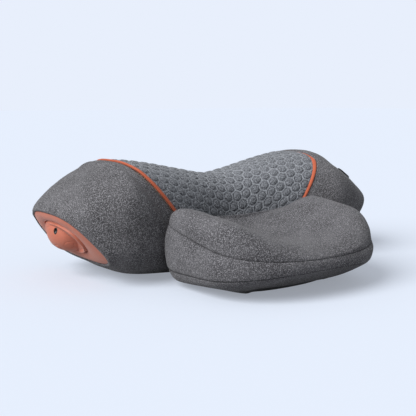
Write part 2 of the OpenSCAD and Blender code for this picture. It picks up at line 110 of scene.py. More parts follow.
def oval(a, b, t, n):
    """Superellipse with half widths a and b and squareness n, at the angles t."""
    c, s = np.cos(t), np.sin(t)
    return a * np.sign(c) * np.abs(c) ** (2 / n), b * np.sign(s) * np.abs(s) ** (2 / n)


def roll_surface(u, t, d):
    """Points of the roll at station u (-3 to 3), angle t (radians) and depth d under its outside."""
    u, t, d = np.broadcast_arrays(u, t, np.asarray(d, float))
    w = np.abs(u)
    side = np.where(u < 0, -1.0, 1.0)
    top, low = through(STATION_TOP, w), through(STATION_LOW, w)
    y, z = oval(through(STATION_DEPTH, w) / 2 - d, (top - low) / 2 - d, t, ROLL_SQUARE)
    y = y * (1 - np.where(u < 0, through(KEYSTONE, w), 0.0) * z * 2 / (top - low))
    x = through(STATION_X, w, STATION_X[1]) + z * np.tan(np.radians(through(STATION_TILT, w)))
    return np.stack([side * x, y, np.maximum((top + low) / 2 + z, FLOOR_Z + np.maximum(d, 0))], -1)


def angles(n):
    """Angles round a section whose points are about evenly spaced along it."""
    fine = np.linspace(0, 2 * math.pi, 4001)
    y, z = oval(70.0, 60.0, fine, ROLL_SQUARE)
    s = np.concatenate([[0], np.cumsum(np.hypot(np.diff(y), np.diff(z)))])
    return np.interp(np.arange(n) / n * s[-1], s, fine)


def grid_normals(p):
    """Outward normals of a grid of points whose columns wrap round."""
    n = np.cross(np.roll(p, -1, 1) - np.roll(p, 1, 1), np.gradient(p, axis=0))
    return n / np.maximum(np.linalg.norm(n, axis=-1, keepdims=True), 1e-9)


# ---------------------------------------------------------------- mesh helpers
def make_mesh(name, points, faces):
    """points in millimetres; faces is a list of (n, 4) or (n, 3) arrays."""
    mesh = bpy.data.meshes.new(name)
    loops = np.concatenate([f.ravel() for f in faces]).astype(np.int32)
    sizes = np.concatenate([np.full(len(f), f.shape[1]) for f in faces]).astype(np.int32)
    starts = np.concatenate([[0], np.cumsum(sizes)[:-1]]).astype(np.int32)
    mesh.vertices.add(len(points))
    mesh.vertices.foreach_set("co", (np.asarray(points) * MM).astype(np.float32).ravel())
    mesh.loops.add(len(loops))
    mesh.loops.foreach_set("vertex_index", loops)
    mesh.polygons.add(len(sizes))
    mesh.polygons.foreach_set("loop_start", starts)
    mesh.polygons.foreach_set("use_smooth", np.full(len(sizes), True))
    mesh.update(calc_edges=True)
    mesh.validate()
    obj = bpy.data.objects.new(name, mesh)
    bpy.context.scene.collection.objects.link(obj)
    return obj


def grid_faces(rows, cols, wrap_rows=False):
    """Quads between the points of a grid whose columns wrap round."""
    r = np.arange(rows if wrap_rows else rows - 1)[:, None]
    c = np.arange(cols)[None, :]
    r2, c2 = (r + 1) % rows, (c + 1) % cols
    quad = np.stack([r * cols + c, r * cols + c2, r2 * cols + c2, r2 * cols + c], -1)
    return quad.reshape(-1, 4)


def ring_mesh(name, rows):
    """A closed ring-shaped solid from a grid that wraps both ways."""
    n, m = rows.shape[:2]
    return make_mesh(name, rows.reshape(-1, 3), [grid_faces(n, m, wrap_rows=True)])


def capped_mesh(name, rows, first, last):
    """A closed solid from a grid of rows, with a fan to a point at each end."""
    n, m = rows.shape[:2]
    points = np.concatenate([rows.reshape(-1, 3), [first], [last]])
    c = np.arange(m)
    c2 = (c + 1) % m
    low = np.stack([np.full(m, n * m), c2, c], -1)
    high = np.stack([np.full(m, n * m + 1), (n - 1) * m + c, (n - 1) * m + c2], -1)
    return make_mesh(name, points, [grid_faces(n, m), low, high])


def set_attribute(obj, name, values):
    """A value per point that materials can read."""
    layer = obj.data.attributes.new(name, "FLOAT", "POINT")
    layer.data.foreach_set("value", np.asarray(values, np.float32).ravel())


def smoothstep(a, b, x):
    """0 at a and 1 at b, with level ends."""
    f = np.clip((x - a) / (b - a), 0, 1)
    return f * f * (3 - 2 * f)


def bump_at(x, centre, width):
    """1 at the centre, falling away on both sides."""
    return np.exp(-(((x - centre) / width) ** 2))


def ripple(p, size, seed):
    """Slow, smooth unevenness: a sum of sine waves in fixed random directions."""
    rng = np.random.default_rng(seed)
    total = np.zeros(p.shape[:-1])
    for _ in range(9):
        direction = rng.normal(size=3)
        direction /= np.linalg.norm(direction)
        wave = size * rng.uniform(0.7, 1.6)
        total += np.sin(p @ direction * (2 * math.pi / wave) + rng.uniform(0, 2 * math.pi))
    return total / 9


def sample(grid, rows, cols):
    """The grid's points at fractional rows and columns, on smooth curves; columns wrap round."""
    def weights(f):
        return np.stack([-f**3 + 2 * f**2 - f, 3 * f**3 - 5 * f**2 + 2,
                         -3 * f**3 + 4 * f**2 + f, f**3 - f**2], 0) / 2

    n, m = grid.shape[:2]
    r0, c0 = np.floor(rows).astype(int), np.floor(cols).astype(int)
    wr, wc = weights(rows - r0), weights(cols - c0)
    along = 0
    for k in range(4):
        along = along + grid[np.clip(r0 + k - 1, 0, n - 1)] * wr[k][:, None, None]
    out = 0
    for k in range(4):
        out = out + along[:, (c0 + k - 1) % m] * wc[k][None, :, None]
    return out


def swell(rows, held, cap):
    """How padded fabric moves when its filling presses out, from a cloth simulation of a coarse skin.
    held is 1 where the skin is fixed, and cap limits the movement."""
    n, m = rows.shape[:2]
    obj = make_mesh("swelling", rows.reshape(-1, 3), [grid_faces(n, m)])
    group = obj.vertex_groups.new(name="held")
    for i, weight in enumerate(held.ravel()):
        if weight > 0.01:
            group.add([i], float(weight), "REPLACE")
    cloth = obj.modifiers.new("cloth", "CLOTH").settings
    cloth.quality = 5
    cloth.mass = CLOTH_MASS
    cloth.tension_stiffness = cloth.compression_stiffness = CLOTH_STIFF
    cloth.shear_stiffness = CLOTH_STIFF / 2
    cloth.bending_stiffness = 0.5
    cloth.vertex_group_mass = "held"
    cloth.use_pressure = True
    cloth.uniform_pressure_force = CLOTH_PRESSURE
    cloth.effector_weights.gravity = 0.0
    scene = bpy.context.scene
    scene.frame_start, scene.frame_end = 1, CLOTH_FRAMES
    for number in range(1, CLOTH_FRAMES + 1):
        scene.frame_set(number)
    shown = obj.evaluated_get(bpy.context.evaluated_depsgraph_get()).to_mesh()
    moved = np.zeros(len(shown.vertices) * 3, np.float32)
    shown.vertices.foreach_get("co", moved)
    mesh = obj.data
    bpy.data.objects.remove(obj)
    bpy.data.meshes.remove(mesh)
    scene.frame_set(1)
    move = moved.reshape(n, m, 3) / MM - rows
    far = np.linalg.norm(move, axis=-1, keepdims=True)
    return move * (cap * np.tanh(far / cap) / np.maximum(far, 1e-6))


def relaxed(values, passes):
    """Evens out neighbouring values along and round a skin."""
    for _ in range(passes):
        inner = (values[:-2] + 2 * values[1:-1] + values[2:]) / 4
        values = np.concatenate([values[:1], inner, values[-1:]])
        values = (np.roll(values, 1, 1) + 2 * values + np.roll(values, -1, 1)) / 4
    return values


def puffed(finished, start, held, cap, passes=4):
    """The finished skin, made full and hollow where its simulated filling makes it so."""
    normal = grid_normals(finished)
    free = 1 - held
    off = (swell(start, held, cap) * normal).sum(-1)
    off = relaxed(off - np.median(off[free > 0.5]), passes)
    off = np.where(off > 0, FULLEST * np.tanh(off / FULLEST), HOLLOWEST * np.tanh(off / HOLLOWEST))
    return finished + normal * (off * free)[..., None]


# ---------------------------------------------------------------- materials
class Nodes:
    """Builds one material's node tree."""

    def __init__(self, name):
        self.material = bpy.data.materials.new(name)
        self.material.use_nodes = True
        self.tree = self.material.node_tree
        self.shader = self.tree.nodes["Principled BSDF"]
        self.coords = self.add("ShaderNodeTexCoord").outputs["Object"]

    def add(self, kind, **values):
        node = self.tree.nodes.new(kind)
        for key, value in values.items():
            setattr(node, key, value)
        return node

    def link(self, a, b):
        self.tree.links.new(a, b)

    def put(self, socket, value):
        if isinstance(value, bpy.types.NodeSocket):
            self.link(value, socket)
        else:
            socket.default_value = value

    def scaled(self, scale, turn):
        node = self.add("ShaderNodeMapping")
        self.link(self.coords, node.inputs["Vector"])
        node.inputs["Scale"].default_value = scale
        node.inputs["Rotation"].default_value = turn
        return node.outputs["Vector"]

    def noise(self, scale, detail, rough=0.5, vector=None):
        node = self.add("ShaderNodeTexNoise")
        self.link(vector or self.coords, node.inputs["Vector"])
        node.inputs["Scale"].default_value = scale
        node.inputs["Detail"].default_value = detail
        node.inputs["Roughness"].default_value = rough
        return node.outputs["Fac"]

    def ramp(self, value, low, high, to_low=0.0, to_high=1.0):
        node = self.add("ShaderNodeMapRange", interpolation_type="SMOOTHSTEP")
        self.put(node.inputs["Value"], value)
        for key, v in (("From Min", low), ("From Max", high), ("To Min", to_low), ("To Max", to_high)):
            node.inputs[key].default_value = v
        return node.outputs["Result"]

    def math(self, operation, a, b=0.0):
        node = self.add("ShaderNodeMath", operation=operation)
        self.put(node.inputs[0], a)
        self.put(node.inputs[1], b)
        return node.outputs[0]

    def mix(self, factor, a, b):
        node = self.add("ShaderNodeMix", data_type="RGBA")
        self.put(node.inputs["Factor"], factor)
        self.put(node.inputs["A"], a)
        self.put(node.inputs["B"], b)
        return node.outputs["Result"]

    def attribute(self, name):
        return self.add("ShaderNodeAttribute", attribute_name=name).outputs["Fac"]

    def bump(self, height, distance, strength):
        node = self.add("ShaderNodeBump")
        self.link(height, node.inputs["Height"])
        node.inputs["Distance"].default_value = distance
        node.inputs["Strength"].default_value = strength
        return node.outputs["Normal"]

    def finish(self, color, rough, normal=None, **more):
        self.put(self.shader.inputs["Base Color"], color)
        self.put(self.shader.inputs["Roughness"], rough)
        if normal:
            self.link(normal, self.shader.inputs["Normal"])
        for key, value in more.items():
            self.put(self.shader.inputs[key.replace("_", " ")], value)
        return self.material


def srgb(r, g, b):
    """A display colour, 0 to 255, as the linear value that materials take."""
    def one(c):
        c /= 255
        return c / 12.92 if c <= 0.04045 else ((c + 0.055) / 1.055) ** 2.4
    return (one(r), one(g), one(b), 1.0)


def toned(color, times, more=0.0):
    """The colour made darker or lighter."""
    return tuple(min(1.0, c * times + more) for c in color[:3]) + (1.0,)


def heathered(name, color, light, dark):
    """Melange jersey: pale and dark fibres over a mid tone, with a fine knitted surface, and near-black painted
    shade along seam creases.
    """
    n = Nodes(name)
    yarn = n.noise(940.0, 1.0)
    cross = n.noise(1250.0, 1.0, vector=n.scaled((1.0, 1.0, 1.9), (0.5, 0.3, 0.8)))
    fibre = n.noise(2200.0, 1.0)
    patch = n.noise(40.0, 2.0)
    tone = n.mix(n.ramp(yarn, 0.44, 0.66), color, light)
    tone = n.mix(n.ramp(cross, 0.47, 0.66, 0.0, 0.9), tone, dark)
    tone = n.mix(n.ramp(patch, 0.35, 0.65, 0.0, 0.14), tone, light)
    # painted shade: the colour goes near black along the cushion's two seams, standing in for the shade in their
    # creases
    seam = n.attribute("seam")
    tone = n.mix(n.math("MULTIPLY", seam, 0.75), tone, toned(dark, 0.25))
    height = n.math("ADD", n.math("ADD", yarn, n.math("MULTIPLY", cross, 0.8)), n.math("MULTIPLY", fibre, 0.5))
    normal = n.bump(height, 0.0006, 0.5)
    return n.finish(tone, n.ramp(yarn, 0.3, 0.7, 0.84, 0.96), normal, Sheen_Weight=0.12,
                    Sheen_Roughness=0.5, Specular_IOR_Level=0.12)


def hex_knit():
    """The embossed spacer knit: pale ridge threads, mid-grey pads and painted shade darkening the gaps between
    them.
    """
    n = Nodes("hex_knit")
    yarn = n.noise(900.0, 1.0)
    fine = n.noise(2200.0, 1.0)
    ridge, pad, gap = n.attribute("ridge"), n.attribute("pad"), n.attribute("gap")
    base = n.mix(n.ramp(yarn, 0.38, 0.62), srgb(78, 80, 84), srgb(158, 161, 167))
    tone = n.mix(n.math("MULTIPLY", pad, 0.3), base, srgb(104, 107, 113))
    # painted shade: the gaps between the pads are darkened in colour
    tone = n.mix(n.math("MULTIPLY", gap, 0.5), tone, srgb(66, 67, 73))
    thread = n.ramp(n.noise(420.0, 2.0, 0.6), 0.35, 0.6, 0.25, 0.8)
    tone = n.mix(n.math("MULTIPLY", ridge, thread), tone, srgb(178, 182, 189))
    patch = n.noise(44.0, 2.0)
    tone = n.mix(n.ramp(patch, 0.38, 0.66, 0.0, 0.16), tone, srgb(100, 102, 108))
    normal = n.bump(n.math("ADD", yarn, n.math("MULTIPLY", fine, 0.5)), 0.0006, 0.8)
    return n.finish(tone, 0.92, normal, Sheen_Weight=0.12, Sheen_Roughness=0.5,
                    Specular_IOR_Level=0.12)


def coral(name, color, rough, grain=900.0):
    """Soft-touch coral silicone or leathercloth, with a very fine grain and slight wear."""
    n = Nodes(name)
    fine = n.noise(grain, 3.0)
    patch = n.noise(60.0, 3.0)
    tone = n.mix(n.ramp(patch, 0.4, 0.7, 0.0, 0.3), color, toned(color, 1.25, 0.02))
    tone = n.mix(n.ramp(fine, 0.52, 0.7, 0.0, 0.3), tone, toned(color, 0.75))
    normal = n.bump(fine, 0.00025, 0.6)
    return n.finish(tone, n.ramp(patch, 0.3, 0.7, rough - 0.06, rough + 0.06), normal,
                    Sheen_Weight=0.15, Specular_IOR_Level=0.4)


def plain(name, color, rough, metal=0.0, grain=700.0, depth=0.0001):
    """Moulded plastic, metal or rubber with a fine surface grain."""
    n = Nodes(name)
    fine = n.noise(grain, 4.0, 0.55)
    patch = n.noise(90.0, 2.0)
    tone = n.mix(n.ramp(patch, 0.35, 0.7, 0.0, 0.5), color, toned(color, 1.15, 0.01))
    normal = n.bump(fine, depth, 0.6)
    return n.finish(tone, n.ramp(fine, 0.3, 0.7, rough * 0.9, min(1.0, rough * 1.1)), normal, Metallic=metal)


def paint(obj, material):
    obj.data.materials.clear()
    obj.data.materials.append(material)


# what each material slot looks like
FINISHES = {
    "roll_fabric": heathered("roll_fabric", srgb(80, 79, 81), srgb(146, 145, 149), srgb(38, 37, 40)),
    "cushion_fabric": heathered("cushion_fabric", srgb(80, 79, 82), srgb(142, 141, 145), srgb(38, 37, 40)),
    "hex_knit": hex_knit(),
    "coral_piping": coral("coral_piping", srgb(188, 92, 60), 0.65, 1400.0),
    "coral_silicone": coral("coral_silicone", srgb(194, 112, 88), 0.5),
    "foam": plain("foam", srgb(236, 230, 212), 0.9, grain=1500.0, depth=0.0004),
    "dark_plastic": plain("dark_plastic", srgb(42, 43, 46), 0.5),
    "black_plastic": plain("black_plastic", srgb(14, 14, 15), 0.4),
    "circuit_board": plain("circuit_board", srgb(32, 96, 62), 0.35),
    "brass": plain("brass", srgb(212, 172, 92), 0.3, 1.0),
    "steel": plain("steel", srgb(196, 198, 202), 0.32, 1.0),
    "white_plastic": plain("white_plastic", srgb(228, 228, 225), 0.45),
    "hose_vinyl": plain("hose_vinyl", srgb(216, 220, 223), 0.35),
    "air_cell_film": plain("air_cell_film", srgb(178, 188, 198), 0.4),
    "heating_sheet": plain("heating_sheet", srgb(150, 92, 40), 0.35),
    "wire_jacket": plain("wire_jacket", srgb(26, 26, 28), 0.5),
    "battery_wrap": plain("battery_wrap", srgb(70, 108, 160), 0.35),
    "grip_rubber": plain("grip_rubber", srgb(34, 34, 36), 0.85, grain=260.0, depth=0.0005),
    "tag_fabric": heathered("tag_fabric", srgb(30, 30, 32), srgb(48, 48, 51), srgb(18, 18, 20)),
    "zip_fabric": heathered("zip_fabric", srgb(44, 44, 47), srgb(70, 70, 74), srgb(26, 26, 28)),
    "pale_button": plain("pale_button", srgb(226, 214, 206), 0.45),
    "lens": plain("lens", srgb(92, 48, 36), 0.15),
}


def place(obj, slot, body, *nodes):
    """Gives a finished piece its material, its body and the CAD nodes that it stands in for."""
    paint(obj, FINISHES[slot])
    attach(obj, body)
    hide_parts(*nodes)


# ---------------------------------------------------------------- neck roll
SEAM_U = (PIPING_R - 0.2) * 2 / STATION_X[2]   # half the width of the piping's seam, in stations
HEX_PITCH = 12.6                                # from one embossed pad's middle to the next
COARSE = 120                                    # columns of the simulated skins
CENTRE_ROWS, END_ROWS = 40, 34                  # and their rows, without a closed end's
END_STATIONS = 1 + SEAM_U + (2 - SEAM_U) * np.linspace(0, 1, END_ROWS)
LINING = 3.4                                    # how deep the end covers' inner sides lie


def girth_from_top(p):
    """Signed distance round each section from the line along the roll's top."""
    step = np.hypot(*(np.roll(p, -1, 1) - p)[..., 1:].transpose(2, 0, 1))
    s = np.concatenate([np.zeros((len(p), 1)), np.cumsum(step, 1)[:, :-1]], 1)
    total = s[:, -1:] + step[:, -1:]
    s = s - s[:, p.shape[1] // 4][:, None]
    return (s + total / 2) % total - total / 2


def hex_cells(a, b):
    """Distance from the nearest pad's middle and from its hexagon's edge; pads line up along a."""
    row_step = HEX_PITCH * math.sqrt(3) / 2
    best_r = np.full(a.shape, 1e9)
    edge = np.zeros(a.shape)
    row = np.round(b / row_step)
    for dr in (-1, 0, 1):
        r = row + dr
        shift = (np.abs(r) % 2) * HEX_PITCH / 2
        col = np.round((a - shift) / HEX_PITCH)
        da, db = a - shift - col * HEX_PITCH, b - r * row_step
        far = np.hypot(da, db)
        h = np.maximum(np.abs(da), np.abs(da) / 2 + np.abs(db) * math.sqrt(3) / 2)
        closer = far < best_r
        best_r = np.where(closer, far, best_r)
        edge = np.where(closer, HEX_PITCH / 2 - h, edge)
    return best_r, edge


def seam_tuck(from_seam):
    """How deep the cover lies this far from its seam."""
    return SEAM_TUCK * (1 - smoothstep(0, 10, from_seam))


def roll_skin(us, tuck, end=None):
    """A padded skin over the stations us, lying tuck deep at each. end(t, depth) adds rows beyond the
    last station. Returns the coarse grid."""
    t = angles(COARSE)

    def grid(depth):
        rows = roll_surface(us[:, None], t[None], (tuck + depth)[:, None])
        return rows if end is None else np.concatenate([rows, end(t, depth[-1])])

    finished = grid(np.zeros(len(us)))
    to_first, to_last = np.abs(us - us[0]), np.abs(us[-1] - us)
    from_seam = (to_first if end else np.minimum(to_first, to_last)) * STATION_X[2] / 2
    start = grid(SWELL * smoothstep(0, 12, from_seam))
    held = 1 - smoothstep(2.0, 9.0, finished[..., 2])
    held[0] = 1
    if end is None:
        held[-1] = 1
    return puffed(finished, start, held, ROLL_CAP)


def centre_knit():
    us = np.linspace(-1 + SEAM_U, 1 - SEAM_U, CENTRE_ROWS)
    skin = roll_skin(us, seam_tuck((1 - SEAM_U - np.abs(us)) * STATION_X[2] / 2))
    outer = sample(skin, np.linspace(0, CENTRE_ROWS - 1, 300), np.arange(4 * COARSE) / 4)
    us = np.linspace(us[0], us[-1], 300)
    to_edge = (1 - SEAM_U - np.abs(us)) * STATION_X[2] / 2
    normal = grid_normals(outer)
    r, edge = hex_cells(outer[..., 0], girth_from_top(outer))
    fade = smoothstep(0.3, 2.5, to_edge)[:, None] * smoothstep(2.0, 14.0, outer[..., 2])
    ridge = bump_at(edge, 0.0, 0.62) * fade
    pad = np.clip(1 - (r / 4.9) ** 4, 0, 1) ** 0.7 * fade
    # the gaps between the pads: sunk a little, and darkened in the knit's colour as painted shade
    gap = bump_at(r, 5.0, 0.7) * fade * (1 - ridge)
    lift = 0.95 * pad + 0.5 * ridge - 0.3 * gap + 0.25 * ripple(outer, 34.0, 3) * fade
    lift += 0.16 * ripple(outer, 5.0, 4) * pad
    lift -= 0.7 * bump_at(to_edge, 0.0, 1.0)[:, None]
    outer = outer + normal * (lift - 0.5 * fade)[..., None]
    t = angles(4 * COARSE)
    inner = roll_surface(np.linspace(us[-1], us[0], 12)[:, None], t[None], COVER_T)
    obj = ring_mesh("centre_knit_cover", np.concatenate([outer, inner]))
    blank = np.zeros(inner.shape[:2])
    for name, values in (("ridge", ridge), ("pad", pad), ("gap", gap)):
        set_attribute(obj, name, np.concatenate([values, blank]))
    place(obj, "hex_knit", "neck_roll", "centre_cover")


TAG_U, TAG_T = (2.1, 2.4), (119.0, 131.0)       # where the side tag lies, in stations and degrees
PULLS = ((-12.0, 0.8, 1.1), (8.0, 0.35, 1.6), (-33.0, 0.45, 1.8), (27.0, 0.3, 1.5))     # place, depth, width


def end_finish(outer, us, side):
    """Seam roll at the piping, slow unevenness, and the pulls that the panel's edge puts in the cloth."""
    us = np.abs(us)
    from_piping = (us - us.min()) * STATION_X[2] / 2
    from_face = (3 - us) * (STATION_X[3] - STATION_X[2])
    normal = grid_normals(outer)
    free = smoothstep(0.0, 9.0, from_piping) * smoothstep(-1.0, 6.0, from_face)
    lift = (0.3 * ripple(outer, 52.0, 11) + 0.14 * ripple(outer, 13.0, 12)) * free[:, None]
    lift -= 0.7 * bump_at(from_piping, 0.0, 1.0)[:, None]
    if side < 0:
        lift -= (0.8 * np.exp(-from_piping / 3.0) + 2.1 * bump_at(from_piping, 15.0, 11.0))[:, None]
        rim = (1 - np.exp(-np.maximum(from_face, 0) / 4.5)) * bump_at(from_face, 0.0, 26.0)
        full = RIM_FULL + 2.5 * smoothstep(0.2, 0.8, -normal[..., 1])
        lift += rim[:, None] * full * smoothstep(-0.7, -0.1, normal[..., 2])
        pulled = bump_at(from_face, 0.0, 7.0)[:, None] * (outer[..., 2] > 40)
        for middle, depth, width in PULLS:
            lift -= depth * bump_at(outer[..., 1], middle, width) * pulled
        lift += 0.3 * np.sin(outer[..., 1] * 0.55) * pulled
    else:
        lift += (2.4 * bump_at(from_face, 0.0, 13.0) - 1.3 * bump_at(from_face, 31.0, 14.0))[:, None]
    outer = outer + normal * (lift * smoothstep(1.0, 8.0, outer[..., 2]))[..., None]
    outer[..., 2] = np.maximum(outer[..., 2], FLOOR_Z)
    return outer


def left_end():
    us = -END_STATIONS[::-1]
    skin = roll_skin(us, seam_tuck((us[-1] - us) * STATION_X[2] / 2))
    outer = sample(skin, np.linspace(0, END_ROWS - 1, 190), np.arange(3 * COARSE) / 3)
    outer = end_finish(outer, np.linspace(us[0], us[-1], 190), -1)
    t = angles(3 * COARSE)
    inner = roll_surface(np.linspace(us[-1], -2.8, 8)[:, None], t[None], LINING)
    hem = roll_surface(np.linspace(-2.9, -3.0, 5)[:, None], t[None], np.linspace(4.5, 1.8, 5)[:, None])
    obj = ring_mesh("left_end_fabric", np.concatenate([outer, inner, hem]))
    place(obj, "roll_fabric", "neck_roll", "left_end_cover")


def dome_surface(k, t, d):
    """The plain end's padded face: k is 1 at its rim and 0 at its middle."""
    y, z = oval(FACE_A - d, FACE_B - d, t, ROLL_SQUARE)
    y, z = y * k, z * k
    out = (DOME_RISE - d) * np.maximum(0, 1 - k**3) ** 0.6
    return np.stack([STATION_X[3] + z * math.sin(END_TILT) + out * math.cos(END_TILT), y,
                     END_Z + z * math.cos(END_TILT) - out * math.sin(END_TILT)], -1)


def right_end():
    us = END_STATIONS
    ks = np.cos(np.linspace(0.16, math.pi / 2 - 0.08, 11))
    skin = roll_skin(us, seam_tuck((us - us[0]) * STATION_X[2] / 2),
                     lambda t, depth: dome_surface(ks[:, None], t[None], depth))
    rows = END_ROWS + len(ks) - 1
    fine = np.linspace(0, rows, 240)
    outer = sample(skin, fine, np.arange(3 * COARSE) / 3)
    outer = end_finish(outer, np.interp(fine, [0, END_ROWS - 1], [us[0], 3.0]), 1)
    t = angles(3 * COARSE)
    inner = roll_surface(np.linspace(2.9, us[0], 8)[:, None], t[None], LINING)
    obj = capped_mesh("right_end_fabric", np.concatenate([inner, outer]), inner[0].mean(0), outer[-1].mean(0))
    place(obj, "roll_fabric", "neck_roll", "right_end_cover")
    side_tag(outer, np.interp(fine, [0, END_ROWS - 1, rows], [us[0], 3.0, 4.0]), t)


def slab(name, patch, low, high):
    """A thin closed sheet over an open grid of points, with its edges rounded down."""
    n, m = patch.shape[:2]
    normal = np.cross(np.gradient(patch, axis=1), np.gradient(patch, axis=0))
    normal /= np.linalg.norm(normal, axis=-1, keepdims=True)
    edge = np.minimum.outer(*(np.minimum(np.arange(k), np.arange(k)[::-1]) for k in (n, m)))
    top = patch + normal * (high - (high - low) * 0.4 * np.exp(-edge / 0.7))[..., None]
    ids = np.arange(n * m).reshape(n, m)
    face = np.stack([ids[:-1, :-1], ids[:-1, 1:], ids[1:, 1:], ids[1:, :-1]], -1).reshape(-1, 4)
    rim = np.concatenate([ids[0, :-1], ids[:-1, -1], ids[-1, :0:-1], ids[:0:-1, 0]])
    far = np.roll(rim, -1)
    wall = np.stack([rim, rim + n * m, far + n * m, far], -1)
    points = np.concatenate([top.reshape(-1, 3), (patch + normal * low).reshape(-1, 3)])
    return make_mesh(name, points, [face, face[:, ::-1] + n * m, wall])


def side_tag(outer, us, t):
    """The small dark label sewn on over the far end's shoulder."""
    rows = (us > TAG_U[0]) & (us < TAG_U[1])
    columns = (t > math.radians(TAG_T[0])) & (t < math.radians(TAG_T[1]))
    obj = slab("dark_side_tag", outer[rows][:, columns], -0.3, 1.5)
    place(obj, "tag_fabric", "neck_roll", "side_tab")


def piping(side, name):
    """Coral cord standing half out of the seam, and level with the covers over the crest."""
    t = angles(480)
    a = np.linspace(0, 2 * math.pi, 16, endpoint=False)
    u = side * (1 + PIPING_R * np.cos(a) * 2 / STATION_X[2])
    sunk, deeper = (0.4, 1.4) if side < 0 else (2.1, 1.7)
    sunk = sunk + deeper * smoothstep(0.78, 0.95, np.sin(t))
    rows = roll_surface(u[:, None], t[None], (side * PIPING_R * np.sin(a))[:, None] + sunk)
    obj = ring_mesh(name, rows)
    place(obj, "coral_piping", "neck_roll", name.replace("_cord", "_piping"))


# ---------------------------------------------------------------- left end face and controller
def at_face(local):
    """Points of the end face's own frame (front, up its slope, straight out) in the row frame."""
    x, y, z = local[..., 0], local[..., 1], local[..., 2]
    c, s = math.cos(END_TILT), math.sin(END_TILT)
    return np.stack([-STATION_X[3] - y * s - z * c, -x, END_Z + y * c - z * s], -1)


def pod_ring(t, k=1.0, grow=0.0):
    x, y = oval(POD_A + grow, POD_B + grow, t, POD_SQUARE)
    return POD_AT[0] + x * k, POD_AT[1] + y * k


def pod_k(x, y):
    return (np.abs((x - POD_AT[0]) / POD_A) ** POD_SQUARE
            + np.abs((y - POD_AT[1]) / POD_B) ** POD_SQUARE) ** (1 / POD_SQUARE)


def panel_height(share):
    """Crowned silicone: up from the hem, over a low crown, and down into the moat."""
    return 2.4 * np.sin(np.clip(share, 0, 1) * 2.6) ** 0.8 - 0.9


def end_panel():
    t = angles(260)
    rim_x, rim_y = oval(FACE_A - 2.2, FACE_B - 2.6, t, ROLL_SQUARE)
    rim_x = rim_x * (1 - KEYSTONE[3] * rim_y / FACE_B)
    hole_x, hole_y = pod_ring(np.arctan2(rim_y / FACE_B, rim_x / FACE_A), 1.0, MOAT)
    share = np.concatenate([[0, 0, 0.004, 0.015, 0.035, 0.06], np.linspace(0.1, 0.93, 22),
                            [0.96, 0.985, 1, 1, 1, 0.6, 0.3]])
    height = panel_height(share)
    height[0] = -3.5
    height[-5:] = (0.2, -1.5, -4.0, -4.0, -4.0)
    rows = np.stack([np.stack([rim_x + (hole_x - rim_x) * q, rim_y + (hole_y - rim_y) * q, z + 0 * t], -1)
                     for q, z in zip(share, height)])
    obj = ring_mesh("coral_end_panel", at_face(rows))
    place(obj, "coral_silicone", "neck_roll", "end_panel")


POD_DOME = (-10.0, -0.5, 26.0, 19.6, 11.8)      # middle, half widths and height
POD_SCOOP = (19.0, -5.0, 8.5, 10.5, 2.2)
BUTTONS = {"power_button": (-21.0, -2.0), "mode_button": (-6.0, -4.0), "heat_button": (9.0, -4.0)}
BUTTON_R = 4.0
LENS_AT = (22.0, 2.0)
LENS_RADII = (2.6, 1.5)
JACK_AT, JACK_R = (1.0, 14.0), 2.6
BORE_DEPTH = 3.0


def pod_height(x, y):
    """The controller's top: a rounded lip, a bowl that deepens to a finger scoop, and a broad dome."""
    k = pod_k(x, y)
    lip = 2.6 * smoothstep(1.0, 0.95, k) - 1.3 * smoothstep(0.9, 0.8, k)

    def far(ax, ay, a, b):
        return ((x - ax) / a) ** 2 + ((y - ay) / b) ** 2

    dome = POD_DOME[4] * np.maximum(0, 1 - far(*POD_DOME[:4])) ** 0.85
    scoop = POD_SCOOP[4] * np.exp(-far(*POD_SCOOP[:4]))
    return lip - scoop * smoothstep(0.95, 0.85, k) + dome


def shell_height(x, y):
    """The top with a fine gap sunk round each button, and room for the charging jack's bore."""
    h = pod_height(x, y)
    for bx, by in BUTTONS.values():
        h = h - 0.45 * bump_at(np.hypot(x - bx, y - by), BUTTON_R + 0.3, 0.35)
    return h - 3.6 * smoothstep(JACK_R - 0.2, JACK_R - 0.9, np.hypot(x - JACK_AT[0], y - JACK_AT[1]))


def controller_shell():
    t = np.linspace(0, 2 * math.pi, 260, endpoint=False)
    ks = np.concatenate([np.linspace(0.02, 0.84, 90), np.linspace(0.85, 1.0, 26)])
    ring_x, ring_y = pod_ring(t)
    x = POD_AT[0] + (ring_x - POD_AT[0]) * ks[:, None]
    y = POD_AT[1] + (ring_y - POD_AT[1]) * ks[:, None]
    top = np.stack([x, y, shell_height(x, y)], -1)

    def skirt(inset, z):
        sx, sy = pod_ring(t, 1.0, -inset)
        return np.stack([sx, sy, z + 0 * t], -1)

    inside = [np.stack([*pod_ring(t, q), 0.2 - 1.5 * q + 0 * t], -1) for q in (0.1, 0.5, 0.85)]
    walls = [skirt(2.0, -3.0), skirt(2.0, -12.5), skirt(0.0, -12.5), skirt(0.0, -0.6)]
    rows = np.concatenate([inside, walls, top[::-1]])
    middle = np.array([*POD_AT, float(shell_height(*POD_AT))])
    obj = capped_mesh("controller_top_shell", at_face(rows), at_face(middle * [1, 1, 0]), at_face(middle))
    place(obj, "coral_silicone", "controller", "controller_shell")


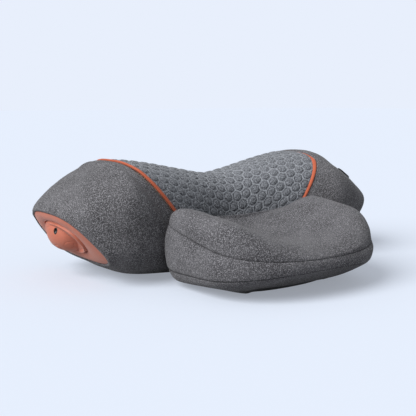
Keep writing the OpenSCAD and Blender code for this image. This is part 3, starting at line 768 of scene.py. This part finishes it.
def cap_on_pod(name, centre, radii, rise, slot, body, node, bore=0.0):
    """A small cap that follows the controller's curved top, with a rounded edge and perhaps a bore,
    whose radius is a share of the cap's."""
    t = np.linspace(0, 2 * math.pi, 64, endpoint=False)
    ks = np.concatenate([np.linspace(0.06, 0.8, 9), [0.88, 0.94, 0.98, 1.0]])
    x = centre[0] + radii[0] * ks[:, None] * np.cos(t)
    y = centre[1] + radii[1] * ks[:, None] * np.sin(t)
    top = np.stack([x, y, pod_height(x, y) + rise * np.sqrt(np.maximum(0, 1 - ks**6))[:, None] - 0.1], -1)
    foot_depth, sunk = (4.5, BORE_DEPTH) if bore else (2.2, 0.0)
    top[..., 2] -= sunk * smoothstep(bore + 0.04, bore - 0.04, ks)[:, None]
    rows = np.concatenate([top[-1:] - [0, 0, foot_depth], top[::-1]])
    middle = np.array([*centre, float(pod_height(*centre)) - sunk])
    obj = capped_mesh(name, at_face(rows), at_face(middle - [0, 0, 2.4]), at_face(middle + [0, 0, rise - 0.1]))
    place(obj, slot, body, node)


# ---------------------------------------------------------------- head cushion
def cushion_place(inset, z_of, t):
    """One ring of the cushion, inset from its outline, at the height z_of gives for each point."""
    x, y = oval(CUSHION_A - inset, CUSHION_B - inset, t, CUSHION_SQUARE)
    u, v = x / CUSHION_A, y / CUSHION_B
    return np.stack([CUSHION_X + x, y - CUSHION_Y + CUSHION_BOW * u * u, z_of(u, v) + 0 * x], -1)


# heights of the lower seam, the upper seam and the crown, at shares u and v of the half widths
def low_z(u, v):
    return 25.3 - 7.2 * u * u - 2.5 * v


def seam_z(u, v):
    return 51.4 + 3.3 * u * u + 12.7 * v


def crown_z(u, v):
    front = 8.0 * (1 - u * u) * smoothstep(0.3, -0.7, v)
    return 45.0 + 51.6 * u * u + 7.7 * v + front


def cushion_rings(t, d):
    """The CAD cushion's rings, d under its outside, from the middle of its base to its crown."""
    far = smoothstep(0.2, 0.9, np.cos(t))       # the end away from the controller tapers in downwards
    front = smoothstep(0.3, 0.95, -np.sin(t))   # the front stands a little off the floor
    rear = smoothstep(-0.4, 0.3, np.sin(t))
    flat = np.maximum(rear, smoothstep(0.1, 0.6, np.cos(t)))     # where the top does not overhang its seam

    def side(inset, share):
        return cushion_place(inset + d + 4.0 * (1 - share) * far,
                             lambda u, v: low_z(u, v) + (seam_z(u, v) - low_z(u, v)) * share
                             - d * rear * max(share, 0), t)

    rings = [cushion_place(inset, lambda u, v: lift * front + d / 2 + 0 * u, t)
             for inset, lift in ((57, 0.0), (54, 1.2), (51, 3.2))]
    rings.append(cushion_place(46 + d, lambda u, v: 0.3 + 5.4 * front + d / 2 + 0 * u, t))
    rings.append(cushion_place(25 + d, lambda u, v: 0.3 * low_z(u, v) + 4.2 * front + d / 2, t))
    rings += [side(8, -0.28), side(1.5, 0.0), side(-0.8, 0.33), side(-0.8, 0.7), side(1 + flat, 1.0)]
    for q in (18, 36, 54, 72, 90):
        a = math.radians(q)
        rings.append(cushion_place(
            1 + flat + (CROWN_IN + 1) * (1 - math.cos(a)) - 1.6 * math.sin(2 * a) * (1 - flat) + d * math.cos(a),
            lambda u, v: seam_z(u, v) + (crown_z(u, v) - seam_z(u, v)) * math.sin(a)
            - d * np.maximum(math.sin(a), rear), t))
    for k in (0.86, 0.7, 0.5, 0.3, 0.12):
        x, y = oval((CUSHION_A - CROWN_IN - 2) * k, (CUSHION_B - CROWN_IN - 2) * k, t, CUSHION_SQUARE)
        u, v = x / CUSHION_A, y / CUSHION_B
        rings.append(np.stack([CUSHION_X + x, y - CUSHION_Y + CUSHION_BOW * u * u, crown_z(u, v) - d], -1))
    return np.array(rings)


LOW_SEAM, TOP_SEAM = 6.0, 9.0      # where the two seams run, counted in rings
LAST_RING = 19
RING_ROWS = 3                      # rows of the simulated skin from one ring to the next
CUSHION_COARSE = 96                # and its columns
CORE_IN, CORE_FLOOR = 5.0, 9.0     # how far in and how high up the foam lies
ZIP_MOUTH = (42.0, 4.0)            # half the opening under the zip


def head_cushion():
    t, fine_t = angles(CUSHION_COARSE), angles(4 * CUSHION_COARSE)
    rings = np.linspace(0, LAST_RING, RING_ROWS * LAST_RING + 1)
    finished, start, foam = (sample(cushion_rings(t, d), rings, np.arange(CUSHION_COARSE))
                             for d in (0, SWELL, CORE_IN))
    ring = rings[:, None] + 0 * t
    held = np.maximum(1 - smoothstep(3.0, 5.5, ring), smoothstep(15.0, 19.0, ring))
    held = np.maximum(held, 0.25 * (bump_at(ring, LOW_SEAM, 0.3) + bump_at(ring, TOP_SEAM, 0.3)))
    rows = np.linspace(0, RING_ROWS * LAST_RING, 220)
    skin = sample(puffed(finished, start, held, CUSHION_CAP, 10), rows, np.arange(4 * CUSHION_COARSE) / 4)
    ring = rows / RING_ROWS
    normal = grid_normals(skin)
    crease = 1.1 * bump_at(ring, LOW_SEAM, 0.07) + 1.2 * bump_at(ring, TOP_SEAM, 0.06)
    lift = -crease[:, None] + 0.35 * ripple(skin, 48.0, 21) + 0.12 * ripple(skin, 15.0, 22)
    skin = skin + normal * (lift * smoothstep(0.5, 6.0, skin[..., 2]))[..., None]
    skin[..., 2] = np.maximum(skin[..., 2], 0.0)
    mouth_x, mouth_y = oval(*ZIP_MOUTH, fine_t, 8.0)
    mouth = [np.stack([CUSHION_X + mouth_x, mouth_y - CUSHION_Y, z + 0 * fine_t], -1) for z in (8.0, 4.0, 0.3)]
    skin = np.concatenate([mouth, skin])
    obj = capped_mesh("head_cushion_cover", skin, skin[0].mean(0), skin[-1].mean(0))
    # marks the two seams, where the fabric's colour gets painted crease shade
    seam = np.append([0, 0, 0], bump_at(ring, LOW_SEAM, 0.07) + bump_at(ring, TOP_SEAM, 0.055))
    set_attribute(obj, "seam", np.append(np.repeat(seam, len(fine_t)), [0, 0]))
    place(obj, "cushion_fabric", "cushion", "cushion_top_cover", "cushion_border", "cushion_base")
    foam[..., 2] = np.maximum(foam[..., 2], CORE_FLOOR)
    core = capped_mesh("cushion_foam_core", foam, foam[0].mean(0), foam[-1].mean(0))
    place(core, "foam", "cushion", "cushion_core")


def paint_frame():
    """Every CAD node takes the finish of its material slot."""
    for part in frame["record"]["subparts"]:
        paint(frame["nodes"][part["node"]], FINISHES[part["material_slot"]])


# ---------------------------------------------------------------- stage
BACKDROP = srgb(232, 239, 252)
SKYLIGHT, SKYLIGHT_STRENGTH = (0.93, 0.96, 1.0, 1.0), 0.40
FLOOR_SIZE = 12.0
FLOOR_GLOW = 0.35                           # share of the floor's brightness that shadows leave alone
FLOOR_SEEN = (0.49, 0.53, 0.60, 1.0)
FLOOR_BOUNCE = (0.38, 0.39, 0.41, 1.0)
CAMERA_AZIMUTH, CAMERA_ELEVATION, CAMERA_DISTANCE = -36.0, 8.0, 0.900
CAMERA_TARGET = (0, 0, 0.060)
CAMERA_LENS, CAMERA_SENSOR, CAMERA_SHIFT = 66.8, 36.0, -0.0038
SUN_AZIMUTH, SUN_ELEVATION, SUN_STRENGTH, SUN_SPREAD = -87, 39, 3.4, 42


def stage():
    mesh = bpy.data.meshes.new("studio_floor")
    corners = [(x * FLOOR_SIZE, y * FLOOR_SIZE, 0) for x, y in ((-1, -1), (1, -1), (1, 1), (-1, 1))]
    mesh.from_pydata(corners, [], [(0, 1, 2, 3)])
    floor = bpy.data.objects.new("studio_floor", mesh)
    bpy.context.scene.collection.objects.link(floor)
    n = Nodes("studio_floor")
    seen = n.add("ShaderNodeLightPath").outputs["Is Camera Ray"]
    n.finish(n.mix(seen, FLOOR_BOUNCE, FLOOR_SEEN), 0.9, None, Specular_IOR_Level=0.0,
             Emission_Color=BACKDROP, Emission_Strength=n.math("MULTIPLY", seen, FLOOR_GLOW))
    paint(floor, n.material)


def world():
    w = bpy.data.worlds.new("studio")
    bpy.context.scene.world = w
    w.use_nodes = True
    tree = w.node_tree
    tree.nodes.clear()
    out = tree.nodes.new("ShaderNodeOutputWorld")
    mix = tree.nodes.new("ShaderNodeMixShader")
    path = tree.nodes.new("ShaderNodeLightPath")
    seen = tree.nodes.new("ShaderNodeBackground")
    seen.inputs["Color"].default_value = BACKDROP
    lit = tree.nodes.new("ShaderNodeBackground")
    lit.inputs["Color"].default_value = SKYLIGHT
    lit.inputs["Strength"].default_value = SKYLIGHT_STRENGTH
    tree.links.new(path.outputs["Is Camera Ray"], mix.inputs[0])
    tree.links.new(lit.outputs[0], mix.inputs[1])
    tree.links.new(seen.outputs[0], mix.inputs[2])
    tree.links.new(mix.outputs[0], out.inputs["Surface"])


def aimed(name, data, azimuth, elevation, distance=0.0):
    """A light or camera that looks at the target from this far round, up and away."""
    obj = bpy.data.objects.new(name, data)
    bpy.context.scene.collection.objects.link(obj)
    a, e = math.radians(azimuth), math.radians(elevation)
    back = Vector((math.sin(a) * math.cos(e), -math.cos(a) * math.cos(e), math.sin(e)))
    obj.location = Vector(CAMERA_TARGET) + back * distance
    obj.rotation_mode = "QUATERNION"
    obj.rotation_quaternion = back.to_track_quat("Z", "Y")
    return obj


def sun():
    light = bpy.data.lights.new("key", "SUN")
    light.energy = SUN_STRENGTH
    light.angle = math.radians(SUN_SPREAD)
    aimed("key", light, SUN_AZIMUTH, SUN_ELEVATION)


def camera():
    data = bpy.data.cameras.new("camera")
    data.lens = CAMERA_LENS
    data.sensor_width = CAMERA_SENSOR
    data.shift_x = CAMERA_SHIFT
    bpy.context.scene.camera = aimed("camera", data, CAMERA_AZIMUTH, CAMERA_ELEVATION, CAMERA_DISTANCE)


centre_knit()
left_end()
right_end()
piping(-1, "left_cord")
piping(1, "right_cord")
end_panel()
controller_shell()
for button, centre in BUTTONS.items():
    cap_on_pod(button + "_cap", centre, (BUTTON_R, BUTTON_R), 0.45,
               "pale_button" if button == "power_button" else "coral_silicone", button, button)
cap_on_pod("charging_mouth", JACK_AT, (JACK_R, JACK_R), 0.35, "black_plastic", "controller", "charging_jack", 0.7)
cap_on_pod("status_window", LENS_AT, LENS_RADII, 0.25, "lens", "controller", "status_lens")
head_cushion()
paint_frame()
stage()
world()
sun()
camera()
bpy.context.scene.view_settings.view_transform = "Standard"
